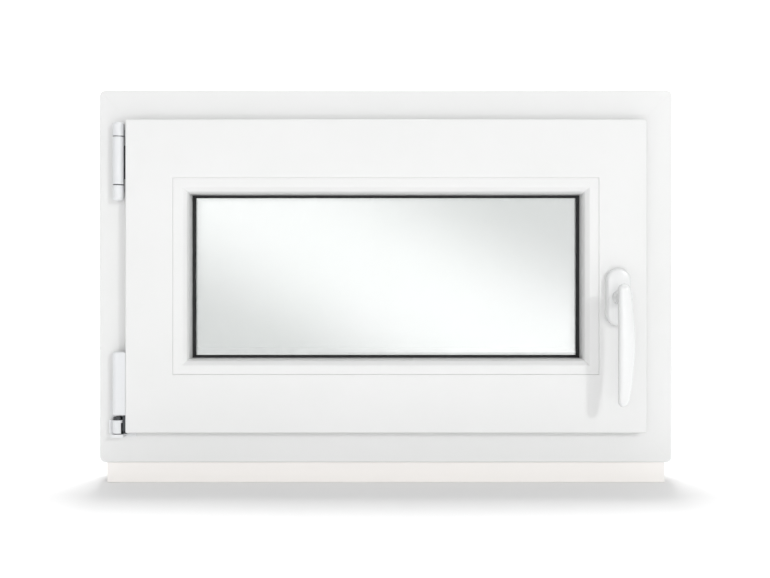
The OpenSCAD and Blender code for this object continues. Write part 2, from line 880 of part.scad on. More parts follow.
module stadium(w, l) {
  r = w / 2;
  translate([handle_x, handle_z]) union() {
    translate([-r, r - l / 2]) square([w, l - w]);
    for (s = [-1, 1])
      translate([0, s * (l / 2 - r)]) circle(r);
  }
}

module rosette_screw_rods(r, beyond = 0) {
  for (s = [-1, 1])
    rod_y(r, handle_x, sash_y - rosette_base_t, groove_y - 4 + beyond, handle_z + s * rosette_screw_d);
}

module handle_rosette() {
  t = rosette_wall;
  color(PVC) difference() {
    deep(sash_y - rosette_t, sash_y) stadium(rosette_w, rosette_l);
    deep(sash_y - rosette_t + t, sash_y + 1) stadium(rosette_w - 2 * t, rosette_l - 2 * t);
    rod_y(neck_r + run, handle_x, sash_y - rosette_t - 1, sash_y, handle_z);
  }
}
module rosette_base() {
  t = rosette_wall + 0.1;
  color(BLACK) difference() {
    deep(sash_y - rosette_base_t, sash_y) stadium(rosette_w - 2 * t, rosette_l - 2 * t);
    rod_y(neck_r + play, handle_x, sash_y - rosette_base_t - 1, sash_y + 1, handle_z);
    rosette_screw_rods(rosette_screw_r + 0.1);
    for (s = [-1, 1])
      rod_y(rosette_screw_r + 0.1, handle_x, sash_y - 6, sash_y + 1, handle_z + s * rosette_screw_d);
  }
}
module rosette_screws() {
  color(STEEL) union() {
    rosette_screw_rods(rosette_screw_r);
    for (s = [-1, 1])
      rod_y(4.2, handle_x, sash_y - rosette_base_t - 2.6, sash_y - rosette_base_t,
        handle_z + s * rosette_screw_d);
  }
}

spindle_y0 = sash_y - 24;
module handle_spindle() {
  color(STEEL) spindle_hole(spindle_y0, groove_y + 6, spindle_w);
}

module lever_disc(x, z, r) {
  rod_y(r, handle_x + x, lever_front, lever_front + lever_t, handle_z + z);
}
module handle_lever() {
  color(PVC) difference() {
    union() {
      rod_y(neck_r, handle_x, lever_front + 4, sash_y - 0.5, handle_z);
      hull() {
        lever_disc(lever_shift, lever_top, lever_end_r);
        lever_disc(lever_shift + 2.3, -lever_mid_drop, lever_mid_r);
        lever_disc(lever_shift, lever_end_r - lever_l, lever_end_r);
      }
    }
    spindle_hole(spindle_y0 - 0.5, sash_y + 1, spindle_w + 0.1);
  }
}

base_profile();
frame_jamb_hinge();
frame_jamb_lock();
frame_head();
frame_sill();
frame_steel_sides();
frame_steel_rails();
drain_caps();
rebate_gasket();
stay_bearing();
hinge_pin();
hinge_pin_cap();
corner_bearing();
bearing_pin();
bearing_cover();
lock_keeps();
tilt_keep();
keep_screws();
bearing_screws();
tilt_block();
pivot_cap();
stay_arm();
stay_eye_cap();
sash_stile_hinge();
sash_stile_lock();
sash_rail_top();
sash_rail_bottom();
sash_steel_sides();
sash_steel_rails();
bead_hinge_side();
bead_lock_side();
bead_top();
bead_bottom();
pane_room();
pane_outside();
spacer_bar();
edge_seal();
room_gasket();
outer_gasket();
setting_blocks();
overlap_gasket();
corner_hinge();
corner_hinge_cover();
hinge_screws();
gearbox_case();
faceplates();
faceplate_screws();
corner_strips();
stay_guide();
handle_rosette();
rosette_base();
rosette_screws();
drive_pinion();
handle_spindle();
handle_lever();
drive_rod_lock();
drive_rod_top();
drive_rod_bottom();
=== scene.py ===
"""A white tilt-and-turn casement window: swept profiles, moulded covers and a lever handle."""

import json
import math

import bmesh
import bpy
import numpy as np
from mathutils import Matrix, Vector


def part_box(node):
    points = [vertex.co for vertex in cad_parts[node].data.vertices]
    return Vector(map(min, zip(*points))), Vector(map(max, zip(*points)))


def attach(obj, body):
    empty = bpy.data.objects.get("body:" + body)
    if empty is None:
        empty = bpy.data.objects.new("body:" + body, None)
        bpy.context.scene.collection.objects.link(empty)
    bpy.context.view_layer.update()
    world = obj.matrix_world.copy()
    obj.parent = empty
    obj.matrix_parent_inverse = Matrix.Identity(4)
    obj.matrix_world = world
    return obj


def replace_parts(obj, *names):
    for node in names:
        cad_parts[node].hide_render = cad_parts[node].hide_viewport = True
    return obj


bl_info = {
    "name": "Casement Window Looks",
    "version": (1, 0, 0),
    "blender": (4, 5, 0),
    "location": "View3D > Sidebar > Window",
    "description": "Profiles, covers, handle and glazing of a tilt-and-turn window",
    "category": "Add Mesh",
}

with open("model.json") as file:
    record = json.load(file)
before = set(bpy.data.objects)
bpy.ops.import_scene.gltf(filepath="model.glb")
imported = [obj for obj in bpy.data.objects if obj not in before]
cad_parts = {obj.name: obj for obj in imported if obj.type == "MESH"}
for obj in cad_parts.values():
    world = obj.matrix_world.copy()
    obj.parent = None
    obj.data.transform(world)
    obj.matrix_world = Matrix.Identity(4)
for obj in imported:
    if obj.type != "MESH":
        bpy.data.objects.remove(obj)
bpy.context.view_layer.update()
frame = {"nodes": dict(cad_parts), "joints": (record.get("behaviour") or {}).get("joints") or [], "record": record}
NODES = frame["nodes"]
MM = 0.001


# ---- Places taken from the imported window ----

JOINTS = {j["name"]: j for j in frame["joints"]}
HINGE_X, HINGE_Y = JOINTS["sash_turn"]["pos_m"][:2]
HANDLE_X, _, HANDLE_Z = JOINTS["handle_turn"]["pos_m"]
HALF_W = -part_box("frame_jamb_hinge")[0].x
BASE_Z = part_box("base_profile")[1].z
TOP_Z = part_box("frame_head")[1].z
MID_Z = (BASE_Z + TOP_Z) / 2
ROOM_Y, OUT_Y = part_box("frame_head")[0].y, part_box("frame_head")[1].y
SASH_Y, SASH_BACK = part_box("sash_rail_top")[0].y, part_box("sash_rail_top")[1].y
LEG_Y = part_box("rebate_gasket")[1].y
SEAL_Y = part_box("overlap_gasket")[0].y


def insets(low_x, high_z):
    """Insets from the window frame's outer edges, at the sides and at the rails."""
    return np.array([low_x + HALF_W, TOP_Z - high_z])


EDGE = np.zeros(2)
SASH = insets(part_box("sash_rail_top")[0].x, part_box("sash_rail_top")[1].z)
BODY = insets(-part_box("faceplates")[1].x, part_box("faceplates")[1].z)
BEAD = insets(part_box("bead_top")[0].x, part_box("bead_top")[1].z)
SIGHT = BEAD + (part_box("bead_top")[1].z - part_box("bead_top")[0].z)
LEG = insets(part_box("frame_jamb_hinge")[1].x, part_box("frame_head")[0].z)
REBATE = insets(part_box("bearing_screws")[1].x - 3.4 * MM, TOP_Z)
REBATE[1] = LEG[1] - (LEG[0] - REBATE[0])
LEVELS = np.array([EDGE, SASH, REBATE, BODY, LEG, BEAD, SIGHT, SIGHT + 0.1])


# ---- Mesh helpers ----

def new_piece(name, points, faces, body, slot, material, smooth=30.0):
    """Puts points and faces into a mesh, closes its seams and turns its faces outwards."""
    mesh = bpy.data.meshes.new(name)
    mesh.from_pydata(np.asarray(points, float).reshape(-1, 3), [], faces)
    made = bmesh.new()
    made.from_mesh(mesh)
    bmesh.ops.remove_doubles(made, verts=made.verts, dist=1e-6)
    bmesh.ops.dissolve_degenerate(made, edges=made.edges, dist=1e-6)
    bmesh.ops.recalc_face_normals(made, faces=made.faces)
    made.to_mesh(mesh)
    made.free()
    piece = bpy.data.objects.new(name, mesh)
    bpy.context.scene.collection.objects.link(piece)
    mesh.materials.append(material)
    mesh.shade_smooth()
    mesh.set_sharp_from_angle(angle=math.radians(smooth))
    even = piece.modifiers.new("even", "WEIGHTED_NORMAL")
    even.keep_sharp, even.weight = True, 100
    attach(piece, body)
    return piece


def tube_faces(rows, columns):
    """Faces of a closed tube: quads between its rings of points, then the two ends."""
    i, j = np.meshgrid(np.arange(rows - 1), np.arange(columns), indexing="ij")
    k = (j + 1) % columns
    quads = np.stack([i * columns + j, i * columns + k,
                      (i + 1) * columns + k, (i + 1) * columns + j], -1)
    first, last = list(range(columns)), list(range((rows - 1) * columns, rows * columns))
    return quads.reshape(-1, 4).tolist() + [first[::-1], last]


def rounded(points, radii, steps=5):
    """Outline with each corner rounded by an arc whose centre lies on the corner's bisector."""
    p = np.asarray(points, float)
    r = np.asarray(radii, float)
    back, ahead = np.roll(p, 1, 0) - p, np.roll(p, -1, 0) - p
    back /= np.linalg.norm(back, axis=1)[:, None]
    ahead /= np.linalg.norm(ahead, axis=1)[:, None]
    half = np.arccos(np.clip((back * ahead).sum(1), -1, 1)) / 2
    middle = back + ahead
    middle /= np.linalg.norm(middle, axis=1)[:, None]
    centre = p + middle * (r / np.sin(half))[:, None]
    first = p + back * (r / np.tan(half))[:, None] - centre
    last = p + ahead * (r / np.tan(half))[:, None] - centre
    a = np.arctan2(first[:, 1], first[:, 0])
    turn = (np.arctan2(last[:, 1], last[:, 0]) - a + np.pi) % (2 * np.pi) - np.pi
    angle = a[:, None] + turn[:, None] * np.linspace(0, 1, steps)[None]
    arc = centre[:, None] + r[:, None, None] * np.stack([np.cos(angle), np.sin(angle)], -1)
    return arc.reshape(-1, 2)


def shrunk(outline, depth):
    """The outline moved inwards by depth along its normals, whichever way it runs."""
    along = np.roll(outline, -1, 0) - np.roll(outline, 1, 0)
    along /= np.maximum(np.linalg.norm(along, axis=1), 1e-12)[:, None]
    x, y = outline.T
    area = np.sum(x * np.roll(y, -1) - y * np.roll(x, -1))
    return outline + np.sign(area) * depth * np.stack([-along[:, 1], along[:, 0]], -1)


CORNERS = {
    "left": ((-1, -1, 225, 180), (-1, 1, 180, 135), (0, 1)),
    "right": ((1, -1, 315, 360), (1, 1, 0, 45), (0, 1)),
    "bottom": ((-1, -1, 225, 270), (1, -1, 270, 315), (1, 0)),
    "top": ((-1, 1, 135, 90), (1, 1, 90, 45), (1, 0)),
}


def mitred(outline, side, corner_r=0.0, groove=0.1 * MM, reach=0.5 * MM, arc=4):
    """Sweeps an outline of (inset at the sides, depth Y) along one side of a rectangular ring.

    A point of inset a follows a rectangle with corners rounded to corner_r - a, and stops on
    the mitre. The last stretch before each mitre is drawn in by groove, as a cleaned weld is."""
    start, end, along = CORNERS[side]
    along = np.array(along, float)
    thin = shrunk(outline, groove)
    rows = []
    for (sx, sz, a0, a1), at_start in ((start, True), (end, False)):
        angles = np.radians(np.linspace(a0, a1, arc))
        for k, angle in enumerate(angles):
            flat = thin if (k == 0 if at_start else k == arc - 1) else outline
            a = flat[:, 0]
            b = np.interp(a, LEVELS[:, 0], LEVELS[:, 1])
            rx, rz = np.maximum(corner_r - a, 0), np.maximum(corner_r - b, 0)
            x = sx * (HALF_W - a - rx) + rx * math.cos(angle)
            z = np.where(sz < 0, BASE_Z + b + rz, TOP_Z - b - rz) + rz * math.sin(angle)
            step = 0.0 if flat is thin else (reach if at_start else -reach)
            rows.append(np.stack([x + step * along[0], flat[:, 1], z + step * along[1]], -1))
    return np.concatenate(rows), tube_faces(len(rows), len(outline))


def joined(parts):
    """Several (points, faces) pairs as one."""
    starts = np.cumsum([0] + [len(p) for p, _ in parts])
    faces = [[v + int(s) for v in f] for (_, fs), s in zip(parts, starts) for f in fs]
    return np.concatenate([p for p, _ in parts]), faces


def column(outline, z0, z1, top_r, low_r, steps=5):
    """A closed outline in X and Y raised from z0 to z1, its ends rounded off to top_r and low_r."""
    t = np.linspace(0, np.pi / 2, steps)
    inset = np.concatenate([low_r * (1 - np.sin(t)), top_r * (1 - np.cos(t))])
    height = np.concatenate([z0 + low_r * (1 - np.cos(t)), z1 - top_r * (1 - np.sin(t))])
    rings = [np.column_stack([shrunk(outline, d), np.full(len(outline), h)])
             for d, h in zip(inset, height)]
    return np.concatenate(rings), tube_faces(len(rings), len(outline))


def circle(x, y, r, count=64):
    """Points of a circle in X and Y."""
    t = np.linspace(0, 2 * np.pi, count, endpoint=False)
    return np.column_stack([x + r * np.cos(t), y + r * np.sin(t)])


def cut(piece, points, faces):
    """Takes a closed shape out of a piece."""
    mesh = bpy.data.meshes.new("cutter")
    mesh.from_pydata(np.asarray(points, float), [], faces)
    made = bmesh.new()
    made.from_mesh(mesh)
    bmesh.ops.recalc_face_normals(made, faces=made.faces)
    made.to_mesh(mesh)
    made.free()
    tool = bpy.data.objects.new("cutter", mesh)
    bpy.context.scene.collection.objects.link(tool)
    change = piece.modifiers.new("cut", "BOOLEAN")
    change.operation, change.object, change.solver = "DIFFERENCE", tool, "EXACT"
    bpy.context.view_layer.update()
    evaluated = piece.evaluated_get(bpy.context.evaluated_depsgraph_get())
    result = bpy.data.meshes.new_from_object(evaluated)
    piece.modifiers.remove(change)
    piece.data = result
    bpy.data.objects.remove(tool)


def box_shape(low, high):
    """Points and faces of a box between two corners."""
    low, high = np.asarray(low, float), np.asarray(high, float)
    pick = np.array([[i, j, k] for i in (0, 1) for j in (0, 1) for k in (0, 1)])
    faces = [[0, 1, 3, 2], [4, 6, 7, 5], [0, 4, 5, 1], [2, 3, 7, 6], [0, 2, 6, 4], [1, 5, 7, 3]]
    return low + pick * (high - low), faces


def rod_along_x(r, x0, x1, y, z, count=32):
    """Points and faces of a rod along X."""
    ring = circle(y, z, r, count)
    points = np.concatenate([np.column_stack([np.full(count, x), ring]) for x in (x0, x1)])
    return points, tube_faces(2, count)


# ---- Materials ----

def linear(hex_colour):
    """An sRGB hex colour as linear RGBA."""
    srgb = np.array([int(hex_colour[i:i + 2], 16) for i in (1, 3, 5)]) / 255
    rgb = np.where(srgb <= 0.04045, srgb / 12.92, ((srgb + 0.055) / 1.055) ** 2.4)
    return (*rgb.tolist(), 1.0)


def add_node(tree, kind, settings=None, inputs=None):
    """Adds a node, sets its properties and inputs; an input that is a socket is linked."""
    node = tree.nodes.new(kind)
    for name, value in (settings or {}).items():
        setattr(node, name, value)
    for name, value in (inputs or {}).items():
        if isinstance(value, bpy.types.NodeSocket):
            tree.links.new(value, node.inputs[name])
        else:
            node.inputs[name].default_value = value
    return node


def start_material(name):
    """A new material with its tree, shader and object coordinates."""
    material = bpy.data.materials.new(name)
    material.use_nodes = True
    tree = material.node_tree
    shader = tree.nodes["Principled BSDF"]
    place = add_node(tree, "ShaderNodeTexCoord").outputs["Object"]
    return material, tree, shader, place


def spread(tree, value, low, high):
    """A value of 0 to 1 carried to low to high."""
    node = add_node(tree, "ShaderNodeMapRange", {}, {"Value": value, "To Min": low, "To Max": high})
    return node.outputs["Result"]


def mixed(tree, value, colour_a, colour_b):
    """A colour ramp between two hex colours."""
    node = add_node(tree, "ShaderNodeMix", {"data_type": "RGBA"})
    tree.links.new(value, node.inputs["Factor"])
    node.inputs["A"].default_value = linear(colour_a)
    node.inputs["B"].default_value = linear(colour_b)
    return node.outputs["Result"]


def noise(tree, place, size_mm, detail=3.0, stretch=(1, 1, 1), rough=0.5):
    """Noise whose grain is about size_mm, longer along the stretched axes."""
    scale = tuple(1 / s for s in stretch)
    spot = add_node(tree, "ShaderNodeMapping", {}, {"Vector": place, "Scale": scale})
    made = add_node(tree, "ShaderNodeTexNoise", {},
                    {"Vector": spot.outputs["Vector"], "Scale": 1000 / size_mm,
                     "Detail": detail, "Roughness": rough})
    return made.outputs["Fac"]


def bump(tree, shader, height, depth_mm, strength=1.0):
    """Raises the surface by the height pattern."""
    made = add_node(tree, "ShaderNodeBump", {},
                    {"Height": height, "Distance": depth_mm * MM, "Strength": strength})
    tree.links.new(made.outputs["Normal"], shader.inputs["Normal"])


def plastic(name, colour, shade, rough, draw=(1, 1, 1), grain_mm=1.2, wave_mm=60, coat=0.0):
    """Extruded or moulded plastic or coating: a broad faint tone over a fine skin."""
    material, tree, shader, place = start_material(name)
    broad = noise(tree, place, wave_mm, 2.0, draw)
    fine = noise(tree, place, grain_mm, 4.0, draw)
    tree.links.new(mixed(tree, broad, colour, shade), shader.inputs["Base Color"])
    tree.links.new(spread(tree, fine, rough - 0.05, rough + 0.07), shader.inputs["Roughness"])
    shader.inputs["IOR"].default_value = 1.53
    shader.inputs["Coat Weight"].default_value = coat
    shader.inputs["Coat Roughness"].default_value = 0.2
    bump(tree, shader, fine, 0.012, 0.6)
    return material


def metal(name, colour, shade, rough, draw=(1, 1, 1), grain_mm=0.6, spangle_mm=0.0):
    """Bare or plated metal: a fine grain, or a spangle, in tone and gloss."""
    material, tree, shader, place = start_material(name)
    fine = noise(tree, place, grain_mm, 5.0, draw)
    tone = fine
    if spangle_mm:
        cells = add_node(tree, "ShaderNodeTexVoronoi", {},
                         {"Vector": place, "Scale": 1000 / spangle_mm})
        split = add_node(tree, "ShaderNodeSeparateColor", {}, {"Color": cells.outputs["Color"]})
        tone = split.outputs["Red"]
    tree.links.new(mixed(tree, tone, colour, shade), shader.inputs["Base Color"])
    tree.links.new(spread(tree, fine, rough - 0.08, rough + 0.1), shader.inputs["Roughness"])
    shader.inputs["Metallic"].default_value = 1.0
    bump(tree, shader, fine, 0.01, 0.5)
    return material


def window_white():
    """Unplasticised PVC, extruded and calibrated: white with a satin skin."""
    return plastic("upvc_white_extruded", "#E3E3E3", "#DFE0DF", 0.34, wave_mm=90)


def base_white():
    """Unplasticised PVC, extruded as a plain support: warmer, duller, drawn along its length, and painted lighter
    than the window's white as painted light that makes up for the shade near the floor.
    """
    # Painted light: this colour is set lighter than the window's white to make up for the shade that falls on the
    # base near the floor.
    return plastic("upvc_base_extruded", "#F4F1EE", "#EFECE9", 0.5,
                   draw=(60, 1, 1), grain_mm=0.8, wave_mm=12)


def cover_white():
    """ABS, injection moulded: a slightly bluish white with a fine spark-eroded skin."""
    return plastic("abs_cover_moulded", "#E0E1E3", "#DBDDDF", 0.32, grain_mm=0.7, wave_mm=25)


def handle_white():
    """Die-cast aluminium, powder coated white: glossy, with a soft orange-peel of about 2 mm."""
    return plastic("powder_coated_aluminium", "#E4E5E5", "#E0E1E1", 0.24,
                   grain_mm=2.2, wave_mm=30, coat=0.3)


def coated_white():
    """Pressed steel with white powder coating: satin, with a fine orange-peel."""
    return plastic("powder_coated_steel", "#E6E7E8", "#E1E2E4", 0.36, grain_mm=1.6, wave_mm=20)


def seal_black():
    """EPDM rubber, extruded: matt black with a dusty bloom."""
    return plastic("epdm_rubber_extruded", "#0D0E0F", "#1B1C1D", 0.62, grain_mm=0.5, wave_mm=9)


def base_plate_black():
    """Glass-filled nylon, moulded: dull black with a coarse skin."""
    return plastic("nylon_moulded_black", "#141516", "#1D1E20", 0.55, grain_mm=0.5, wave_mm=8)


def block_blue():
    """Polypropylene packer, moulded: flat blue with a fine skin."""
    return plastic("polypropylene_packer", "#2E5C94", "#27508A", 0.45, grain_mm=0.7, wave_mm=10)


def zinc():
    """Zinc-plated steel, passivated: a pale, slightly bluish grey with a fine grain."""
    return metal("zinc_plated_steel", "#C9CBCB", "#B4B7BA", 0.36, grain_mm=0.5)


def bright():
    """Bright zinc on turned steel: smooth and light."""
    return metal("bright_zinc_steel", "#D6D8DA", "#C5C8CB", 0.24, grain_mm=0.4)


def dark_steel():
    """Oiled pivot steel: dark grey with a dull sheen; on the stay bearing's plate the dark grey is also painted
    shade for the gap beside the hinge barrel.
    """
    return metal("oiled_pivot_steel", "#5A5C5F", "#3E4043", 0.42, grain_mm=0.4)


def galvanised():
    """Hot-dip galvanised strip: a spangle of about 8 mm."""
    return metal("galvanised_strip", "#B9BCBE", "#A2A6A9", 0.44, grain_mm=0.8, spangle_mm=8)


def spring():
    """Hardened spring strip, rolled: smooth grey."""
    return metal("rolled_spring_steel", "#A9ACB0", "#989B9F", 0.3, grain_mm=0.4)


def mill_aluminium():
    """Mill-finish aluminium, roll-formed: light grey with a fine grain."""
    return metal("mill_finish_aluminium", "#D3D5D6", "#C2C4C6", 0.33, grain_mm=0.5)


def float_glass():
    """Float glass: clear, with a slight grey that drifts slowly to the green of its iron."""
    material, tree, shader, place = start_material("float_glass")
    slow = noise(tree, place, 140, 1.0)
    tree.links.new(mixed(tree, slow, "#E2E3E3", "#E0E2E1"), shader.inputs["Base Color"])
    shader.inputs["Roughness"].default_value = 0.0
    shader.inputs["IOR"].default_value = 1.52
    shader.inputs["Transmission Weight"].default_value = 1.0
    return material


FINISHES = {
    "white_pvc": window_white,
    "base_pvc": base_white,
    "reinforcement_steel": galvanised,
    "black_seal": seal_black,
    "zinc_steel": zinc,
    "spring_steel": spring,
    "bright_steel": bright,
    "cover_plastic": cover_white,
    "pane_glass": float_glass,
    "spacer_aluminium": mill_aluminium,
    "block_plastic": block_blue,
    "black_plastic": base_plate_black,
    "handle_white": handle_white,
    "pivot_steel": dark_steel,
    "coated_steel": coated_white,
}
made_finishes = {}


def finish(slot):
    """The material of a slot, made once."""
    if slot not in made_finishes:
        made_finishes[slot] = FINISHES[slot]()
    return made_finishes[slot]


# ---- Sizes a user can change ----

class WindowProfileSizes(bpy.types.PropertyGroup):
    """Roundings of the extruded profiles and of their mitres."""

    outer_corner: bpy.props.FloatProperty(
        name="Frame corner", description="Radius of the frame's dressed corners",
        default=0.0065, subtype="DISTANCE", unit="LENGTH")
    face_edge: bpy.props.FloatProperty(
        name="Face edge", description="Radius of the profiles' room-side edges",
        default=0.0016, subtype="DISTANCE", unit="LENGTH")
    small_edge: bpy.props.FloatProperty(
        name="Small edge", description="Radius of the inner edges",
        default=0.0008, subtype="DISTANCE", unit="LENGTH")
    bead_flat: bpy.props.FloatProperty(
        name="Bead flat", description="Width of the glazing bead's flat face",
        default=0.011, subtype="DISTANCE", unit="LENGTH")
    gasket_lip: bpy.props.FloatProperty(
        name="Gasket lip", description="How far the black lip shows past the bead",
        default=0.0034, subtype="DISTANCE", unit="LENGTH")


class WindowHandleSizes(bpy.types.PropertyGroup):
    """Shape of the lever and its rosette."""

    lever_width: bpy.props.FloatProperty(
        name="Lever width", description="Width of the lever at its ends",
        default=0.0148, subtype="DISTANCE", unit="LENGTH")
    belly: bpy.props.FloatProperty(
        name="Belly", description="Extra width of the lever where the hand closes",
        default=0.0047, subtype="DISTANCE", unit="LENGTH")
    rosette_edge: bpy.props.FloatProperty(
        name="Rosette edge", description="Radius of the rosette's front edge",
        default=0.0045, subtype="DISTANCE", unit="LENGTH")


class WindowHingeSizes(bpy.types.PropertyGroup):
    """Shape of the hinge covers."""

    sleeve: bpy.props.FloatProperty(
        name="Sleeve", description="Thickness of the white sleeves on the barrels",
        default=0.0003, subtype="DISTANCE", unit="LENGTH")
    cap_edge: bpy.props.FloatProperty(
        name="Cap edge", description="Rounding of the covers' ends",
        default=0.0022, subtype="DISTANCE", unit="LENGTH")


class WindowStageSizes(bpy.types.PropertyGroup):
    """Camera and studio."""

    camera_distance: bpy.props.FloatProperty(
        name="Camera distance", description="From the frame's room face",
        default=1.308, subtype="DISTANCE", unit="LENGTH")
    camera_height: bpy.props.FloatProperty(
        name="Camera height", description="Above the floor",
        default=0.2371, subtype="DISTANCE", unit="LENGTH")
    key_power: bpy.props.FloatProperty(
        name="Key", description="Power of the key light",
        default=52.0, subtype="POWER", unit="POWER")
    top_power: bpy.props.FloatProperty(
        name="Overhead", description="Power of the overhead light",
        default=215.0, subtype="POWER", unit="POWER")
    fill_power: bpy.props.FloatProperty(
        name="Low fill", description="Power of the low front light",
        default=0.5, subtype="POWER", unit="POWER")
    air: bpy.props.FloatProperty(
        name="Air", description="Strength of the light from all round",
        default=0.585)
    floor_glow: bpy.props.FloatProperty(
        name="Floor glow", description="Light added by the floor",
        default=0.0)
    backdrop_glow: bpy.props.FloatProperty(
        name="Backdrop glow", description="Light added by the backdrop",
        default=0.3)


# ---- Pieces ----

FRAME_SIDES = {"frame_jamb_hinge": "left", "frame_jamb_lock": "right", "frame_head": "top",
               "frame_sill": "bottom"}
SASH_SIDES = {"sash_stile_hinge": "left", "sash_stile_lock": "right", "sash_rail_top": "top",
              "sash_rail_bottom": "bottom"}
BEAD_SIDES = {"bead_hinge_side": "left", "bead_lock_side": "right", "bead_top": "top",
              "bead_bottom": "bottom"}

FINE_EDGE = 0.3 * MM                    # rounding of the edges that stay out of sight
GRIP_DEPTH = 1.2 * MM
GRIP_GROOVES = ((22, 12), (-16, -26))   # back and front of each outer groove, in mm of depth
DRAIN_INSET = 20 * MM                   # from the caps' outer end to the middle of a slot
DRAIN_HALF = 14 * MM
DRAIN_LOW, DRAIN_HIGH = 3 * MM, 8 * MM
HARDWARE_GROOVE = 10 * MM
NOSE_IN, NOSE_FALL, NOSE_FOOT = 2.2 * MM, 3.6 * MM, 8 * MM
ROOM_GASKET_W, OUTER_GASKET_W, STOP_GASKET_W = 4.6 * MM, 5.8 * MM, 5 * MM
LIP_SLOPE, STOP_SLOPE = 1.6 * MM, 1.4 * MM
BASE_WALL, BASE_CELLS, BASE_CELL_DEPTH = 2.8 * MM, 3, 20 * MM


def swept(node, side, outline, body, slot, **settings):
    """One mitred member in place of its CAD node."""
    points, faces = mitred(outline, side, **settings)
    piece = new_piece(node + "_skin", points, faces, body, slot, finish(slot))
    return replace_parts(piece, node)


class WINDOW_OT_frame(bpy.types.Operator):
    """Welded window frame: four mitred profiles, drawn solid though the real ones are hollow, with a rebate for
    the sash
    """

    bl_idname = "window.frame"
    bl_label = "Frame"

    def execute(self, context):
        size = context.scene.window_profile
        edge, small = size.face_edge, size.small_edge
        grips = [(inset, y * MM) for back, front in GRIP_GROOVES
                 for inset, y in ((0, back), (GRIP_DEPTH, back - 1),
                                  (GRIP_DEPTH, front + 1), (0, front))]
        outline = rounded(
            [(0, ROOM_Y), (REBATE[0], ROOM_Y), (REBATE[0], LEG_Y), (LEG[0], LEG_Y),
             (LEG[0], OUT_Y), (0, OUT_Y), *grips],
            [edge, small, small, small * 1.5, edge, edge] + [FINE_EDGE] * len(grips))
        mounts = {m["name"]: m["dims"] for m in frame["record"]["mounts"]}
        holes = mounts["jamb_holes_hinge_side"]
        half, radius = holes["spacing_y_mm"] * MM / 2, holes["hole_r_mm"] * MM
        for node, side in FRAME_SIDES.items():
            piece = swept(node, side, outline, "frame", "white_pvc",
                          corner_r=size.outer_corner, arc=7)
            if side in ("left", "right"):
                x0, x1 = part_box(node)[0].x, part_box(node)[1].x
                for z in (MID_Z - half, MID_Z + half):
                    cut(piece, *rod_along_x(radius, x0 - 5 * MM, x1 + 5 * MM, 0, z))
            if side == "bottom":
                low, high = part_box("drain_caps")
                for s in (-1, 1):
                    middle = s * (high.x - DRAIN_INSET)
                    x0, x1 = middle - DRAIN_HALF, middle + DRAIN_HALF
                    cut(piece, *box_shape((x0, OUT_Y - 5 * MM, low.z + DRAIN_LOW),
                                          (x1, OUT_Y + 2 * MM, low.z + DRAIN_HIGH)))
        return {"FINISHED"}


class WINDOW_OT_sash(bpy.types.Operator):
    """Welded sash: four mitred profiles with an overlap, a hardware groove and a glass rebate"""

    bl_idname = "window.sash"
    bl_label = "Sash"

    def execute(self, context):
        size = context.scene.window_profile
        edge, small = size.face_edge, size.small_edge
        plate_low, plate_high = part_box("faceplates")
        inner = BODY[0] + HARDWARE_GROOVE
        leg_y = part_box("outer_gasket")[1].y
        outline = rounded(
            [(SASH[0], SASH_Y), (BEAD[0], SASH_Y), (BEAD[0], leg_y), (SIGHT[0], leg_y),
             (SIGHT[0], SASH_BACK), (BODY[0], SASH_BACK), (BODY[0], plate_high.y),
             (inner, plate_high.y), (inner, plate_low.y), (BODY[0], plate_low.y),
             (BODY[0], SEAL_Y), (SASH[0], SEAL_Y)],
            [edge, small * 0.5, small, small * 1.5, edge, edge,
             FINE_EDGE, 0.5 * MM, 0.5 * MM, FINE_EDGE, small, small])
        for node, side in SASH_SIDES.items():
            swept(node, side, outline, "sash", "white_pvc", corner_r=SASH[0] + 1.5 * MM)
        return {"FINISHED"}


class WINDOW_OT_beads(bpy.types.Operator):
    """Glazing beads: four mitred strips with a flat, a slope and a steep nose towards the glass"""

    bl_idname = "window.beads"
    bl_label = "Glazing Beads"

    def execute(self, context):
        size = context.scene.window_profile
        front, back = (corner.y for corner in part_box("bead_top"))
        a, width = BEAD[0] + 0.1 * MM, SIGHT[0] - BEAD[0]
        outline = rounded(
            [(a, front), (a + size.bead_flat, front), (a + width - NOSE_IN, front + NOSE_FALL),
             (BEAD[0] + width, front + NOSE_FOOT), (BEAD[0] + width, back), (a, back)],
            [0.4 * MM, 4 * MM, 2.4 * MM, 2 * MM, 0.4 * MM, FINE_EDGE], steps=8)
        for node, side in BEAD_SIDES.items():
            swept(node, side, outline, "sash", "white_pvc", groove=0.1 * MM, reach=0.4 * MM)
        return {"FINISHED"}


